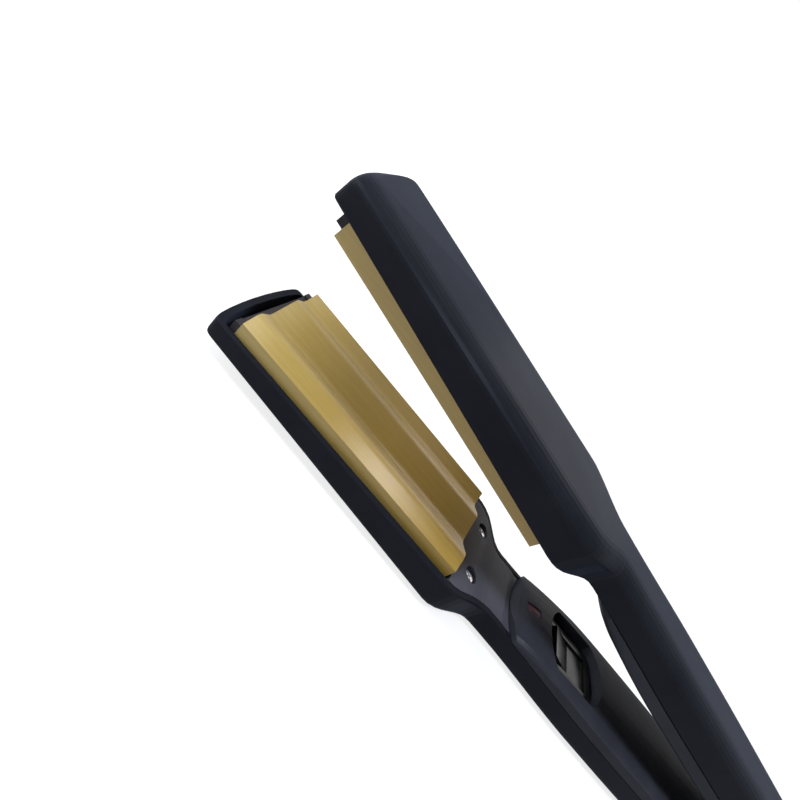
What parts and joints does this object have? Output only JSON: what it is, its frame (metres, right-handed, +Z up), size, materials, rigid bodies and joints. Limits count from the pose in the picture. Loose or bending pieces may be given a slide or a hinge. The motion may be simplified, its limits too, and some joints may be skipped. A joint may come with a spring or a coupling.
{
  "type": "hair waver",
  "caption": "Hinged hair waver with wide wave-shaped heated plates that float in matte black arms, a waisted neck, slim handles, a rocker switch and a swivelling cord gland.",
  "frame": {"origin": "middle of the flat that the lower arm's handle rests on", "axes": "+X along the lower arm towards the tail and cord, +Z up out of the resting face, towards the upper arm, +Y across the arms; the hinge turns about +Y"},
  "size_m": [0.3224, 0.0506, 0.0734],
  "materials": {
    "housing_black": "soft-touch matte black",
    "cover_charcoal": "fine-grained matte charcoal",
    "bright_steel": "bright zinc",
    "silicone_red": "matte silicone",
    "gold_ceramic": "satin champagne gold ceramic coat",
    "carrier_black": "heat-proof matte black",
    "heater_white": "sintered ceramic",
    "spring_steel": "plain steel",
    "lens_red": "tinted clear, unlit",
    "switch_black": "polished black",
    "board_green": "solder-masked",
    "gland_black": "matte black"
  },
  "bodies": {
    "lower_arm": {"lower_housing": "housing_black", "lower_neck_cover": "cover_charcoal", "lower_handle_cover": "cover_charcoal", "lower_screws": "bright_steel", "lower_float_pads": "silicone_red", "indicator_lens": "lens_red", "switch_body": "switch_black", "circuit_board": "board_green", "hinge_pin": "spring_steel", "hinge_pin_clip": "spring_steel", "hinge_spring": "spring_steel"},
    "lower_plate": {"lower_wave_plate": "gold_ceramic", "lower_plate_carrier": "carrier_black", "lower_heater": "heater_white", "lower_heater_clamp": "spring_steel", "thermal_fuse": "spring_steel"},
    "upper_arm": {"upper_housing": "housing_black", "upper_neck_cover": "cover_charcoal", "upper_handle_cover": "cover_charcoal", "upper_screws": "bright_steel", "upper_float_pads": "silicone_red"},
    "upper_plate": {"upper_wave_plate": "gold_ceramic", "upper_plate_carrier": "carrier_black", "upper_heater": "heater_white", "upper_heater_clamp": "spring_steel"},
    "power_rocker": {"switch_rocker": "switch_black"},
    "swivel_gland": {"cord_gland": "gland_black"}
  },
  "joints": [
    {"name": "main_hinge", "type": "hinge", "parent": "lower_arm", "child": "upper_arm", "pos_m": [0.1, 0, 0.01875], "axis": [0, 1, 0], "range_deg": [-7.85, 0], "stiffness_Nm_per_rad": 0.6, "springref_deg": 25.78, "deforming": ["hinge_spring"]},
    {"name": "lower_plate_float", "type": "slide", "parent": "lower_arm", "child": "lower_plate", "axis": [0, 0, -1], "range_m": [0, 0.0012], "stiffness_N_per_m": 2000, "springref_m": -0.0015, "deforming": ["lower_float_pads"]},
    {"name": "upper_plate_float", "type": "slide", "parent": "upper_arm", "child": "upper_plate", "axis": [0.1366, 0, 0.9906], "range_m": [0, 0.0012], "stiffness_N_per_m": 2000, "springref_m": -0.0015, "deforming": ["upper_float_pads"]},
    {"name": "power_rock", "type": "hinge", "parent": "lower_arm", "child": "power_rocker", "pos_m": [-0.0257, 0, 0.0119], "axis": [0, 1, 0], "range_deg": [-16, 0]},
    {"name": "gland_swivel", "type": "hinge", "parent": "lower_arm", "child": "swivel_gland", "pos_m": [0.1154, 0, 0.0085], "axis": [1, 0, 0], "continuous": true}
  ]
}
